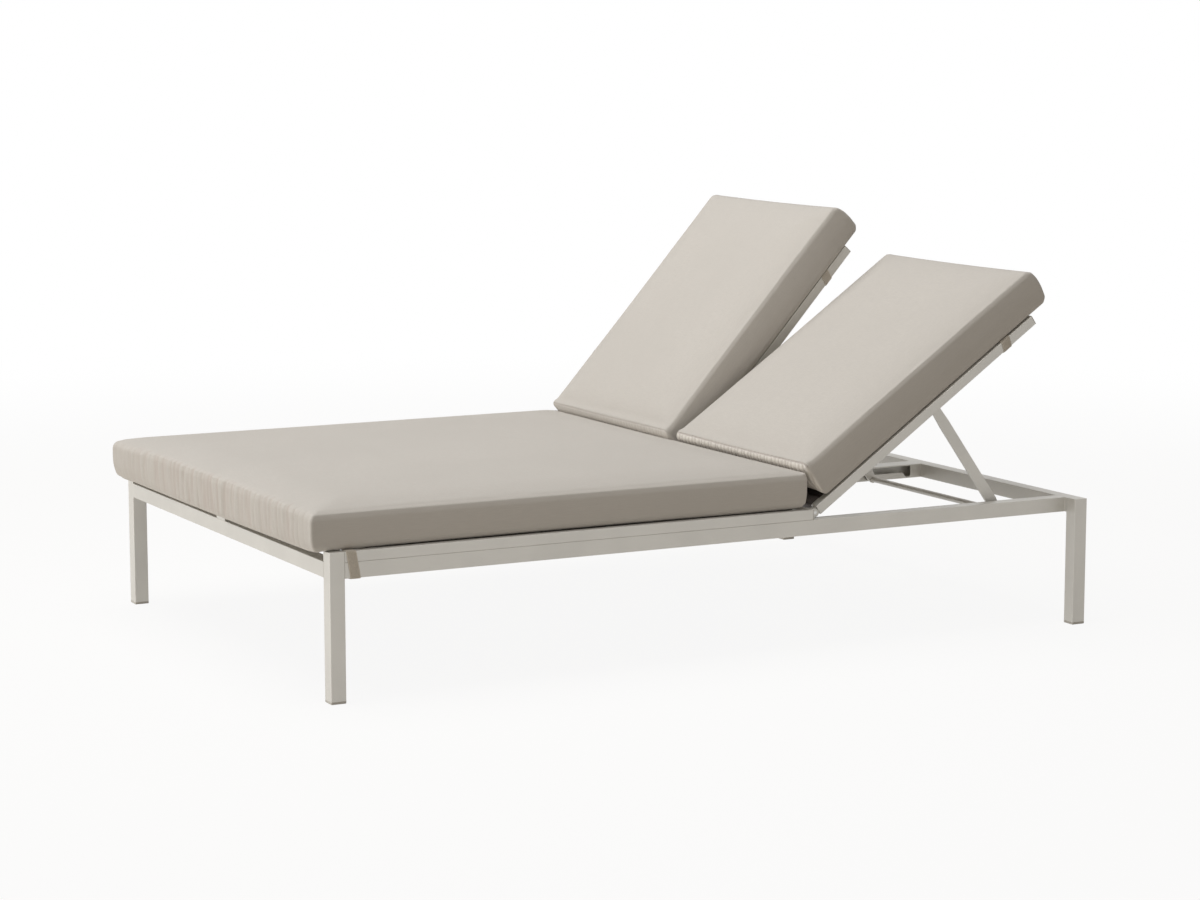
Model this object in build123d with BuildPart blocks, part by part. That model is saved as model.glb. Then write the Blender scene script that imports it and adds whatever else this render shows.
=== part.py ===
"""Double chaise lounger: aluminium frame, two ratchet backs, slings and cushions. Millimetres, +Z up."""
from build123d import *
from math import atan2, cos, radians, sin, sqrt
import os

# X runs from the foot end to the head end, left is -Y and right is +Y for someone lying on it
os.makedirs("parts", exist_ok=True)
SIDES = {"left": -1, "right": 1}

# Base frame
frame_length = 2000
frame_width = 1322
leg_section = 36
leg_wall = 2
head_leg_step = 44
rail_top = 314
rail_height = 36
rail_width = 36
rail_wall = 2
beam_width = 55
beam_web = 2
glide_height = 6
glide_plug_height = 22
glide_chamfer = 1.2
plug_clearance = 0.1
top_plate_thickness = 2

# Tubes of the seat deck and of both backs
deck_tube = 24
deck_wall = 2
tube_corner = 1.6
foot_cross_setback = 100
cap_flange = 2
cap_plug_length = 14

# Hinges between the seat deck and the backs
hinge_lift = 0.5
hinge_pin_diameter = 8
hinge_pin_clearance = 0.05
hinge_pin_head_diameter = 13
hinge_pin_head_height = 4
hinge_cross_setback = 18
ear_thickness = 5
ear_radius = 10
ear_gap = 0.5
tongue_thickness = 10
tongue_radius = 9.8
tongue_plug_length = 30

# Backs
left_back_angle = 34.65
right_back_angle = 48.1
back_tube_start = 10
back_tube_end = 756
back_side_setback = 21
back_beam_overlap = 5.5
back_cross_start = 4

# Props that hold the backs up
prop_pivot_along = 418
prop_pivot_drop = 5
top_prop_angle = 4.46
prop_arm_width = 28
prop_arm_thickness = 6
prop_arm_top_radius = 11
prop_arm_taper = 60
prop_arm_foot_radius = 9.5
prop_arm_foot_taper = 30
prop_arm_gap = 1.5
prop_washer_thickness = 1.3
prop_washer_diameter = 18
prop_bar_diameter = 14
prop_pin_diameter = 10
prop_pin_gap = 0.5
prop_bolt_diameter = 6
prop_bolt_head_diameter = 13
prop_bolt_head_height = 4
prop_bolt_length = 14
prop_nut_diameter = 9.8
prop_bolt_play = 0.2
prop_bolt_clearance = 0.05

# Rack slots that the prop bars ride in
slot_top_drop = 3.5
slot_floor_drop = 20
notch_floor_drop = 32
notch_ramp = 9
notch_half = 7.5
slot_head_margin = 9
slot_foot_margin = 14
rack_head_setback = 33.6
top_hump = 2.5
low_rack_angle = 21.8
high_rack_angle = 42.6

# Slings and the splines that hold them in the tubes
sling_thickness = 1.2
sling_drop = 4.5
sling_end_gap = 5
sling_slot = 2
hem_radius = 2.2
hem_thickness = 0.7
hem_seat = 0.2
spline_clearance = 0.1
strap_notch = 5

# Cushions
cushion_lift = 2.4
seat_cushion_thickness = 86
back_cushion_thickness = 96
cushion_crown = 7
cushion_corner = 8
cushion_edge = 20
cushion_draw_in = 3
seat_cushion_overhang = 36
seat_cushion_inset = 6
seat_cushion_hinge_gap = 28
back_cushion_start = 43.5
back_cushion_end = 818
back_cushion_side_out = 5
back_cushion_center_in = 14

# Straps
strap_width = 27
strap_thickness = 1.5
strap_clearance = 0.3
seat_strap_setback = 6
back_strap_along = 658

overrun = 1

# Places worked out from the sizes above
back_angles = {"left": left_back_angle, "right": right_back_angle}
foot_x = -(frame_length + seat_cushion_overhang) / 2 + seat_cushion_overhang
head_x = foot_x + frame_length
half_width = frame_width / 2
rail_bottom = rail_top - rail_height
rail_inner_y = half_width - rail_width
deck_top = rail_top + deck_tube
seat_tube_inner_y = half_width - deck_tube
head_leg_outer_y = half_width + head_leg_step
head_leg_inner_y = head_leg_outer_y - leg_section
head_rail_inner_x = head_x - rail_width
foot_rail_inner_x = foot_x + rail_width
hinge_z = rail_top + deck_tube / 2 + hinge_lift
back_outer_y = half_width - back_side_setback
back_center_half_gap = beam_width / 2 - back_beam_overlap
cavity = deck_tube - 2 * deck_wall
ground = Plane.XY
slot_top = rail_top - slot_top_drop
slot_floor = rail_top - slot_floor_drop
notch_floor = rail_top - notch_floor_drop
notch_pin_z = notch_floor + prop_pin_diameter / 2
floor_pin_z = slot_floor + prop_pin_diameter / 2


def pivot_from_hinge(angle):
    """The prop's upper pivot on a back raised by an angle in degrees, as (x, z) from the hinge."""
    turn = radians(angle)
    x = prop_pivot_along * cos(turn) + prop_pivot_drop * sin(turn)
    z = prop_pivot_along * sin(turn) - prop_pivot_drop * cos(turn)
    return x, z


def foot_reach(angle, z):
    """How far past the hinge the prop's foot stands at height z."""
    pivot_x, pivot_z = pivot_from_hinge(angle)
    return pivot_x + sqrt(prop_length ** 2 - (hinge_z + pivot_z - z) ** 2)


# The prop is as long as its lean at the top place needs, and the lowest notch sets the hinge's place
top_pivot_z = hinge_z + pivot_from_hinge(right_back_angle)[1]
prop_length = (top_pivot_z - floor_pin_z) / cos(radians(top_prop_angle))
notch_reaches = [foot_reach(angle, notch_pin_z) for angle in (low_rack_angle, left_back_angle, high_rack_angle)]
hinge_x = head_rail_inner_x - rack_head_setback - slot_head_margin - max(notch_reaches)
hinge_cross_end_x = hinge_x - hinge_cross_setback
left_foot = (hinge_x + foot_reach(left_back_angle, notch_pin_z), notch_pin_z)
right_foot = (hinge_x + foot_reach(right_back_angle, floor_pin_z), floor_pin_z)
prop_feet = {"left": left_foot, "right": right_foot}
notch_xs = [hinge_x + reach for reach in notch_reaches]
folded_x = hinge_x + prop_pivot_along - prop_length


def back_plane(side):
    """The plane of a raised back: x runs up the back from the hinge, z stands out of its front."""
    angle = radians(back_angles[side])
    return Plane(origin=(hinge_x, 0, hinge_z), x_dir=(cos(angle), 0, sin(angle)), z_dir=(-sin(angle), 0, cos(angle)))


def cross_section(base, x):
    """A plane across the base plane's x, with its own x along +Y and its y along the base's z."""
    return Plane(origin=base.from_local_coords((x, 0, 0)), x_dir=base.y_dir, z_dir=base.x_dir)


def side_view(base, y):
    """A plane seen from the left, with x and y along the base's x and z; extrusions run towards -Y."""
    return Plane(origin=base.from_local_coords((0, y, 0)), x_dir=base.x_dir, z_dir=-base.y_dir)


def finish(piece, label):
    """Names a finished piece and writes it."""
    piece.part.label = label
    export_step(piece.part, f"parts/{label}.step")


def prop_pivot(angle):
    """The prop's upper pivot on a back raised by an angle in degrees, as (x, z)."""
    pivot_x, pivot_z = pivot_from_hinge(angle)
    return hinge_x + pivot_x, hinge_z + pivot_z


def rack_outline():
    """Lines round the rack slot: a level floor, ramped notches and a low hump that holds the top place."""
    hump_x = right_foot[0] + prop_pin_diameter / 2
    points = [(folded_x - slot_foot_margin, slot_top), (folded_x - slot_foot_margin, slot_floor)]
    points += [(hump_x, slot_floor), (hump_x + notch_half / 2, slot_floor + top_hump), (hump_x + notch_half, slot_floor)]
    for x in sorted(notch_xs):
        points += [
            (x - notch_half - notch_ramp, slot_floor),
            (x - notch_half, notch_floor + notch_half / 4),
            (x - notch_half / 2, notch_floor),
            (x + notch_half / 2, notch_floor),
            (x + notch_half, notch_floor + notch_half / 4),
            (x + notch_half + notch_half / 4, slot_floor),
        ]
    end_x = max(notch_xs) + slot_head_margin
    points[-1] = (end_x, notch_floor + notch_half / 2)
    points += [(end_x, slot_top)]
    return points


def tube_profile(width, height, wall):
    """Draws a tube's section in the open sketch: round outer corners and a plain inside."""
    RectangleRounded(width, height, tube_corner)
    Rectangle(width - 2 * wall, height - 2 * wall, mode=Mode.SUBTRACT)


def square_tube(plane, length, width, height, wall, center=(0, 0)):
    """A straight tube of rectangular section that starts on a plane."""
    with BuildPart() as tube:
        with BuildSketch(plane):
            with Locations(center):
                tube_profile(width, height, wall)
        extrude(amount=length)
    return tube


# Legs, their top plates and their glides
leg_corners = {
    "foot_left": (foot_x + leg_section / 2, -half_width + leg_section / 2),
    "foot_right": (foot_x + leg_section / 2, half_width - leg_section / 2),
    "head_left": (head_x - leg_section / 2, -head_leg_outer_y + leg_section / 2),
    "head_right": (head_x - leg_section / 2, head_leg_outer_y - leg_section / 2),
}
leg_tube_tops = {corner: rail_top - top_plate_thickness for corner in leg_corners}
leg_tube_tops["foot_left"] = leg_tube_tops["foot_right"] = deck_top - top_plate_thickness
for corner, place in leg_corners.items():
    leg_length = leg_tube_tops[corner] - glide_height
    leg = square_tube(ground.offset(glide_height), leg_length, leg_section, leg_section, leg_wall, place)
    finish(leg, f"{corner}_leg")

with BuildPart() as leg_top_plates:
    for corner, place in leg_corners.items():
        with BuildSketch(ground.offset(leg_tube_tops[corner])):
            with Locations(place):
                RectangleRounded(leg_section, leg_section, tube_corner)
        extrude(amount=top_plate_thickness)
finish(leg_top_plates, "leg_top_plates")

glide_plug = leg_section - 2 * leg_wall - 2 * plug_clearance
with BuildPart() as leg_glides:
    with BuildSketch(ground):
        with Locations(*leg_corners.values()):
            RectangleRounded(leg_section, leg_section, tube_corner)
    extrude(amount=glide_height)
    chamfer(leg_glides.faces().group_by(Axis.Z)[0].edges(), length=glide_chamfer)
    with BuildSketch(ground.offset(glide_height)):
        with Locations(*leg_corners.values()):
            Rectangle(glide_plug, glide_plug)
    extrude(amount=glide_plug_height)
finish(leg_glides, "leg_glides")

# Rails between the legs, and the middle beam
rail_z = (rail_top + rail_bottom) / 2
beam_length = head_rail_inner_x - foot_rail_inner_x


def cross_rail(x, half_length, width, height, wall, z):
    """A tube along Y, centred on the middle of the lounger."""
    plane = side_view(ground, half_length)
    return square_tube(plane, 2 * half_length, width, height, wall, (x, z))


foot_rail = cross_rail(foot_x + rail_width / 2, half_width - leg_section, rail_width, rail_height, rail_wall, rail_z)
finish(foot_rail, "foot_rail")
head_rail = cross_rail(head_x - rail_width / 2, head_leg_inner_y, rail_width, rail_height, rail_wall, rail_z)
finish(head_rail, "head_rail")

for name, side in SIDES.items():
    with BuildPart() as side_rail:
        with BuildSketch(cross_section(ground, foot_rail_inner_x)):
            with Locations((side * (half_width - rail_width / 2), rail_z)):
                tube_profile(rail_width, rail_height, rail_wall)
        extrude(amount=beam_length)
        with BuildSketch(side_view(ground, side * rail_inner_y + rail_wall + overrun)):
            with BuildLine():
                Polyline(*rack_outline(), close=True)
            make_face()
        extrude(amount=2 * (rail_wall + overrun), mode=Mode.SUBTRACT)
    finish(side_rail, f"{name}_side_rail")

with BuildPart() as center_beam:
    with BuildSketch(cross_section(ground, foot_rail_inner_x)):
        with Locations((0, rail_z)):
            tube_profile(beam_width, rail_height, rail_wall)
            Rectangle(beam_web, rail_height - 2 * rail_wall)
    extrude(amount=beam_length)
    for side in SIDES.values():
        with BuildSketch(side_view(ground, side * beam_width / 2 + rail_wall + overrun)):
            with BuildLine():
                Polyline(*rack_outline(), close=True)
            make_face()
        extrude(amount=2 * (rail_wall + overrun), mode=Mode.SUBTRACT)
finish(center_beam, "center_beam")

# Seat deck: two side tubes, a wide middle tube, and cross tubes in each bay
seat_tube_z = rail_top + deck_tube / 2
seat_tube_y = half_width - deck_tube / 2
seat_sling_z = deck_top - sling_drop
seat_cross_half = (seat_tube_inner_y - beam_width / 2) / 2
seat_bay_y = (seat_tube_inner_y + beam_width / 2) / 2
foot_cross_x = foot_x + foot_cross_setback + deck_tube / 2
hinge_cross_x = hinge_cross_end_x - deck_tube / 2
seat_sling_start = foot_cross_x + deck_tube / 2 + sling_end_gap
seat_sling_end = hinge_cross_x - deck_tube / 2 - sling_end_gap
seat_slot_x = (seat_sling_start + seat_sling_end) / 2
seat_slot_length = seat_sling_end - seat_sling_start + sling_end_gap
wall_cut = 2 * (deck_wall + overrun)

for name, side in SIDES.items():
    with BuildPart() as seat_tube:
        with BuildSketch(cross_section(ground, foot_rail_inner_x)):
            with Locations((side * seat_tube_y, seat_tube_z)):
                tube_profile(deck_tube, deck_tube, deck_wall)
        extrude(amount=hinge_cross_end_x - foot_rail_inner_x - cap_flange)
        with BuildSketch(ground.offset(seat_sling_z - sling_slot / 2)):
            with Locations((seat_slot_x, side * seat_tube_inner_y)):
                Rectangle(seat_slot_length, wall_cut)
        extrude(amount=sling_slot, mode=Mode.SUBTRACT)
    finish(seat_tube, f"{name}_seat_tube")

with BuildPart() as center_seat_tube:
    with BuildSketch(cross_section(ground, foot_x + cap_flange)):
        with Locations((0, seat_tube_z)):
            tube_profile(beam_width, deck_tube, deck_wall)
    extrude(amount=hinge_cross_end_x - foot_x - 2 * cap_flange)
    with BuildSketch(ground.offset(seat_sling_z - sling_slot / 2)):
        with Locations((seat_slot_x, -beam_width / 2), (seat_slot_x, beam_width / 2)):
            Rectangle(seat_slot_length, wall_cut)
    extrude(amount=sling_slot, mode=Mode.SUBTRACT)
finish(center_seat_tube, "center_seat_tube")

with BuildPart() as center_tube_end_plates:
    for x in (foot_x, hinge_cross_end_x - cap_flange):
        with BuildSketch(cross_section(ground, x)):
            with Locations((0, seat_tube_z)):
                RectangleRounded(beam_width, deck_tube, tube_corner)
        extrude(amount=cap_flange)
finish(center_tube_end_plates, "center_tube_end_plates")

for name, side in SIDES.items():
    for place, x in {"foot": foot_cross_x, "hinge": hinge_cross_x}.items():
        plane = side_view(ground, side * seat_bay_y + seat_cross_half)
        cross_tube = square_tube(plane, 2 * seat_cross_half, deck_tube, deck_tube, deck_wall, (x, seat_tube_z))
        finish(cross_tube, f"{name}_{place}_cross_tube")


def tube_cap(base, x, y, z):
    """Adds a flanged plug at the end of a deck tube that points along the base's x."""
    inner = cross_section(base, x - cap_flange)
    with BuildSketch(inner) as flange:
        with Locations((y, z)):
            RectangleRounded(deck_tube, deck_tube, tube_corner)
    extrude(flange.sketch, amount=cap_flange)
    with BuildSketch(inner) as plug:
        with Locations((y, z)):
            Rectangle(cavity - 2 * plug_clearance, cavity - 2 * plug_clearance)
    extrude(plug.sketch, amount=-cap_plug_length)


with BuildPart() as seat_tube_end_caps:
    for side in SIDES.values():
        tube_cap(ground, hinge_cross_end_x, side * seat_tube_y, seat_tube_z)
finish(seat_tube_end_caps, "seat_tube_end_caps")

# Slings: a flat sheet whose long edges are hemmed round a spline inside each tube
hem_reach = deck_wall + hem_seat + hem_radius


def hem_places(y_low, y_high, z):
    """Where the two hems of a sling lie, between the tube faces at y_low and y_high."""
    return [(y_low - hem_reach, z), (y_high + hem_reach, z)]


def add_sling(base, x_start, x_end, y_low, y_high, z):
    """Adds a sling between two tubes, with a round hem along each side."""
    with BuildSketch(cross_section(base, x_start)) as section:
        with Locations(((y_low + y_high) / 2, z)):
            Rectangle(y_high - y_low + 2 * hem_reach, sling_thickness)
        with Locations(*hem_places(y_low, y_high, z)):
            Circle(hem_radius)
            Circle(hem_radius - hem_thickness, mode=Mode.SUBTRACT)
    extrude(section.sketch, amount=x_end - x_start)


def add_splines(base, x_start, x_end, y_low, y_high, z):
    """Adds the two round splines that fill a sling's hems."""
    with BuildSketch(cross_section(base, x_start)) as section:
        with Locations(*hem_places(y_low, y_high, z)):
            Circle(hem_radius - hem_thickness - spline_clearance)
    extrude(section.sketch, amount=x_end - x_start)


for name, side in SIDES.items():
    bay = sorted((side * beam_width / 2, side * seat_tube_inner_y))
    with BuildPart() as seat_sling:
        add_sling(ground, seat_sling_start, seat_sling_end, *bay, seat_sling_z)
    finish(seat_sling, f"{name}_seat_sling")

with BuildPart() as seat_sling_splines:
    for side in SIDES.values():
        bay = sorted((side * beam_width / 2, side * seat_tube_inner_y))
        add_splines(ground, seat_sling_start, seat_sling_end, *bay, seat_sling_z)
finish(seat_sling_splines, "seat_sling_splines")

# Hinges: ears on the seat deck, a rounded tongue plugged into each back tube, and a pin through both
hinge_ys = (back_outer_y - deck_tube / 2, back_center_half_gap + deck_tube / 2)
ear_offset = tongue_thickness / 2 + ear_gap
hinge_in_view = (hinge_x, hinge_z)

for name, side in SIDES.items():
    with BuildPart() as hinge_ears:
        for y in hinge_ys:
            for ear_y in (y - ear_offset - ear_thickness, y + ear_offset):
                with BuildSketch(side_view(ground, max(side * ear_y, side * (ear_y + ear_thickness)))):
                    with Locations(hinge_in_view):
                        Circle(ear_radius)
                    with Locations(((hinge_cross_end_x + hinge_x) / 2, hinge_z)):
                        Rectangle(hinge_x - hinge_cross_end_x, 2 * ear_radius)
                    with Locations(hinge_in_view):
                        Circle(hinge_pin_diameter / 2, mode=Mode.SUBTRACT)
                extrude(amount=ear_thickness)
    finish(hinge_ears, f"{name}_hinge_ears")

    with BuildPart() as hinge_pins:
        for y in hinge_ys:
            ear_span = 2 * (ear_offset + ear_thickness)
            toward_bay = 1 if y == min(hinge_ys) else -1
            head_face_y = side * (y + toward_bay * ear_span / 2)
            shank_start_y = max(side * (y - ear_span / 2), side * (y + ear_span / 2))
            with BuildSketch(side_view(ground, shank_start_y)):
                with Locations(hinge_in_view):
                    Circle(hinge_pin_diameter / 2)
            extrude(amount=ear_span)
            with BuildSketch(side_view(ground, head_face_y)):
                with Locations(hinge_in_view):
                    Circle(hinge_pin_head_diameter / 2)
            extrude(amount=-side * toward_bay * hinge_pin_head_height)
    finish(hinge_pins, f"{name}_hinge_pins")

# Backs: each is a frame of tubes with a sling, its caps and hinge tongues
back_tube_length = back_tube_end - back_tube_start
back_sling_z = deck_tube / 2 - sling_drop
back_bay = (back_center_half_gap + deck_tube, back_outer_y - deck_tube)
back_cross_low = back_tube_start + back_cross_start + deck_tube / 2
back_cross_high = back_tube_end - deck_tube / 2
back_sling_start = back_cross_low + deck_tube / 2 + sling_end_gap
back_sling_end = back_cross_high - deck_tube / 2 - sling_end_gap

for name, side in SIDES.items():
    base = back_plane(name)
    bay = sorted(side * y for y in back_bay)
    pivot_in_view = (prop_pivot_along, -prop_pivot_drop)

    for place, y in {"outer": hinge_ys[0], "inner": hinge_ys[1]}.items():
        bay_face = side * (back_bay[1] if place == "outer" else back_bay[0])
        with BuildPart() as back_tube:
            with BuildSketch(cross_section(base, back_tube_start)):
                with Locations((side * y, 0)):
                    tube_profile(deck_tube, deck_tube, deck_wall)
            extrude(amount=back_tube_length - cap_flange)
            with BuildSketch(base.offset(back_sling_z - sling_slot / 2)):
                with Locations(((back_sling_start + back_sling_end) / 2, bay_face)):
                    Rectangle(back_sling_end - back_sling_start + sling_end_gap, wall_cut)
            extrude(amount=sling_slot, mode=Mode.SUBTRACT)
            with BuildSketch(side_view(base, bay_face + wall_cut / 2)):
                with Locations(pivot_in_view):
                    Circle(prop_bolt_diameter / 2)
            extrude(amount=wall_cut, mode=Mode.SUBTRACT)
        finish(back_tube, f"{name}_back_{place}_tube")

    for place, x in {"lower": back_cross_low, "upper": back_cross_high}.items():
        plane = side_view(base, bay[1])
        cross_tube = square_tube(plane, bay[1] - bay[0], deck_tube, deck_tube, deck_wall, (x, 0))
        finish(cross_tube, f"{name}_back_{place}_cross_tube")

    with BuildPart() as back_end_caps:
        for y in hinge_ys:
            tube_cap(base, back_tube_end, side * y, 0)
    finish(back_end_caps, f"{name}_back_end_caps")

    with BuildPart() as hinge_tongues:
        for y in hinge_ys:
            with BuildSketch(cross_section(base, back_tube_start)):
                with Locations((side * y, 0)):
                    Rectangle(cavity - 2 * plug_clearance, cavity - 2 * plug_clearance)
            extrude(amount=tongue_plug_length)
            with BuildSketch(side_view(base, side * y + tongue_thickness / 2)):
                Circle(tongue_radius)
                with Locations((back_tube_start / 2, 0)):
                    Rectangle(back_tube_start, 2 * tongue_radius)
            extrude(amount=tongue_thickness)
            with BuildSketch(side_view(base, side * y + tongue_thickness / 2)):
                Circle(hinge_pin_diameter / 2 + hinge_pin_clearance)
            extrude(amount=tongue_thickness, mode=Mode.SUBTRACT)
    finish(hinge_tongues, f"{name}_back_hinge_tongues")

    with BuildPart() as back_sling:
        add_sling(base, back_sling_start, back_sling_end, *bay, back_sling_z)
        with BuildSketch(base.offset(back_sling_z - sling_thickness)):
            for y in (bay[0] + strap_notch / 2, bay[1] - strap_notch / 2):
                with Locations((back_strap_along, y)):
                    Rectangle(strap_width + strap_notch, strap_notch)
        extrude(amount=2 * sling_thickness, mode=Mode.SUBTRACT)
    finish(back_sling, f"{name}_back_sling")

    with BuildPart() as back_sling_splines:
        add_splines(base, back_sling_start, back_sling_end, *bay, back_sling_z)
    finish(back_sling_splines, f"{name}_back_sling_splines")

    # The prop hangs from two shoulder bolts, screwed into nuts inside the tubes
    faces = {side * back_bay[1]: -side, side * back_bay[0]: side}
    with BuildPart() as pivot_bolts:
        for face_y, toward_bay in faces.items():
            seat_y = face_y + toward_bay * (prop_arm_gap + prop_arm_thickness + prop_bolt_play)
            tip_y = face_y - toward_bay * prop_bolt_length
            head_y = seat_y + toward_bay * prop_bolt_head_height
            with BuildSketch(side_view(base, max(tip_y, head_y))):
                with Locations(pivot_in_view):
                    Circle(prop_bolt_diameter / 2)
            extrude(amount=abs(head_y - tip_y))
            with BuildSketch(side_view(base, max(seat_y, head_y))):
                with Locations(pivot_in_view):
                    Circle(prop_bolt_head_diameter / 2)
            extrude(amount=prop_bolt_head_height)
    finish(pivot_bolts, f"{name}_prop_pivot_bolts")

    with BuildPart() as pivot_nuts:
        for face_y, toward_bay in faces.items():
            nut_start_y = face_y - toward_bay * deck_wall
            nut_end_y = face_y - toward_bay * prop_bolt_length
            with BuildSketch(side_view(base, max(nut_start_y, nut_end_y))):
                with Locations(pivot_in_view):
                    Circle(prop_nut_diameter / 2)
                    Circle(prop_bolt_diameter / 2, mode=Mode.SUBTRACT)
            extrude(amount=prop_bolt_length - deck_wall)
    finish(pivot_nuts, f"{name}_prop_pivot_nuts")

    with BuildPart() as pivot_washers:
        for face_y, toward_bay in faces.items():
            far_y = face_y + toward_bay * prop_washer_thickness
            with BuildSketch(side_view(base, max(face_y, far_y))):
                with Locations(pivot_in_view):
                    Circle(prop_washer_diameter / 2)
                    Circle(prop_bolt_diameter / 2 + prop_bolt_clearance, mode=Mode.SUBTRACT)
            extrude(amount=prop_washer_thickness)
    finish(pivot_washers, f"{name}_prop_pivot_washers")


def prop_plane(name):
    """The plane of a prop: x runs from its upper pivot down to its foot."""
    pivot_x, pivot_z = prop_pivot(back_angles[name])
    foot_at_x, foot_at_z = prop_feet[name]
    turn = atan2(foot_at_z - pivot_z, foot_at_x - pivot_x)
    return Plane(origin=(pivot_x, 0, pivot_z), x_dir=(cos(turn), 0, sin(turn)), z_dir=(-sin(turn), 0, cos(turn)))


# Props: two flat arms joined at the foot by a bar whose ends reach for the rack slots
for name, side in SIDES.items():
    base = prop_plane(name)
    arm_faces = (back_bay[1] - prop_arm_gap - prop_arm_thickness, back_bay[0] + prop_arm_gap)
    half_arm = prop_arm_width / 2

    with BuildPart() as prop_arms:
        for arm_y in arm_faces:
            with BuildSketch(side_view(base, max(side * arm_y, side * (arm_y + prop_arm_thickness)))):
                Circle(prop_arm_top_radius)
                with Locations((prop_length, 0)):
                    Circle(prop_arm_foot_radius)
                with BuildLine():
                    Polyline(
                        (0, prop_arm_top_radius),
                        (prop_arm_taper, half_arm),
                        (prop_length - prop_arm_foot_taper, half_arm),
                        (prop_length, prop_arm_foot_radius),
                        (prop_length, -prop_arm_foot_radius),
                        (prop_length - prop_arm_foot_taper, -half_arm),
                        (prop_arm_taper, -half_arm),
                        (0, -prop_arm_top_radius),
                        close=True,
                    )
                make_face()
                Circle(prop_bolt_diameter / 2 + prop_bolt_clearance, mode=Mode.SUBTRACT)
                with Locations((prop_length, 0)):
                    Circle(prop_pin_diameter / 2, mode=Mode.SUBTRACT)
            extrude(amount=prop_arm_thickness)
    finish(prop_arms, f"{name}_prop_arms")

    bar_ends = (arm_faces[1] + prop_arm_thickness, arm_faces[0])
    pin_ends = (beam_width / 2 + prop_pin_gap, rail_inner_y - prop_pin_gap)
    with BuildPart() as prop_bar:
        for diameter, ends in ((prop_bar_diameter, bar_ends), (prop_pin_diameter, pin_ends)):
            with BuildSketch(side_view(base, max(side * ends[0], side * ends[1]))):
                with Locations((prop_length, 0)):
                    Circle(diameter / 2)
            extrude(amount=ends[1] - ends[0])
    finish(prop_bar, f"{name}_prop_bar")


# Cushions: rounded sections with drawn-in sides, lofted up to a crowned top
corner_share = 1 - sqrt(0.5)

# Each level's height as a share of the thickness, then its insets as shares of the edge: sides, low end, high end
seat_level_shares = (
    (0, 0.5, 0.4, 0.5),
    (0.12, 0.15, 0.1, 0.15),
    (0.45, 0, 0, 0),
    (0.8, 0.05, 0, 0.1),
    (0.95, 0.3, 0.2, 0.35),
    (1, 0.8, 0.6, 0.9),
)
back_level_shares = (
    (0, 0.4, 0.5, 0.5),
    (0.14, 0.1, 0.1, 0.1),
    (0.45, 0, 0, 0),
    (0.7, 0.05, 0.25, 0.05),
    (0.9, 0.15, 0.45, 0.35),
    (1, 0.45, 0.7, 0.9),
)

# Each crown level's height as a share of the crown, and its inset as a share of the shorter side
crown_shares = ((0.45, 0.1), (0.85, 0.24), (1, 0.38))


def cushion_section(base, x1, x2, y1, y2, z):
    """One level section of a cushion, with its sides drawn in a little between round corners."""
    x_mid, y_mid = (x1 + x2) / 2, (y1 + y2) / 2
    r = cushion_corner
    c = cushion_corner * corner_share
    with BuildSketch(base.offset(z)) as section:
        with BuildLine():
            ThreePointArc((x1 + r, y1), (x_mid, y1 + cushion_draw_in), (x2 - r, y1))
            ThreePointArc((x2 - r, y1), (x2 - c, y1 + c), (x2, y1 + r))
            ThreePointArc((x2, y1 + r), (x2 - cushion_draw_in, y_mid), (x2, y2 - r))
            ThreePointArc((x2, y2 - r), (x2 - c, y2 - c), (x2 - r, y2))
            ThreePointArc((x2 - r, y2), (x_mid, y2 - cushion_draw_in), (x1 + r, y2))
            ThreePointArc((x1 + r, y2), (x1 + c, y2 - c), (x1, y2 - r))
            ThreePointArc((x1, y2 - r), (x1 + cushion_draw_in, y_mid), (x1, y1 + r))
            ThreePointArc((x1, y1 + r), (x1 + c, y1 + c), (x1 + r, y1))
        make_face()
    return section.sketch


def cushion(base, x_low, x_high, y_low, y_high, thickness, level_shares):
    """A crowned cushion that lies a little above the base, between the given limits."""
    short_side = min(x_high - x_low, y_high - y_low)
    z_edge = cushion_lift + thickness
    edges = [(cushion_lift + h * thickness, i * cushion_edge, low * cushion_edge, high * cushion_edge)
             for h, i, low, high in level_shares]
    edges += [(z_edge + h * cushion_crown, i * short_side, i * short_side, i * short_side) for h, i in crown_shares]
    with BuildPart() as pad:
        sections = [cushion_section(base, x_low + low, x_high - high, y_low + i, y_high - i, z)
                    for z, i, low, high in edges]
        loft(sections, ruled=True)
    return pad


seat_cushion_y = half_width - seat_cushion_inset
seat_cushion = cushion(
    ground.offset(deck_top),
    foot_x - seat_cushion_overhang,
    hinge_x - seat_cushion_hinge_gap,
    -seat_cushion_y,
    seat_cushion_y,
    seat_cushion_thickness,
    seat_level_shares,
)
finish(seat_cushion, "seat_cushion")

for name, side in SIDES.items():
    limits = sorted((side * (back_center_half_gap - back_cushion_center_in), side * (back_outer_y + back_cushion_side_out)))
    back_cushion = cushion(
        back_plane(name).offset(deck_tube / 2),
        back_cushion_start,
        back_cushion_end,
        *limits,
        back_cushion_thickness,
        back_level_shares,
    )
    finish(back_cushion, f"{name}_back_cushion")


# Straps: flat webbing loops drawn tight round the tubes under the cushions
def add_strap(base, x, corners):
    """Adds one webbing loop round the given corners of a tube or block of tubes, centred on x."""
    with BuildSketch(cross_section(base, x - strap_width / 2)) as loop:
        with BuildLine():
            Polyline(*corners, close=True)
        make_face()
        offset(amount=strap_clearance + strap_thickness)
        offset(amount=-strap_thickness, mode=Mode.SUBTRACT)
    extrude(loop.sketch, amount=strap_width)


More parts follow.
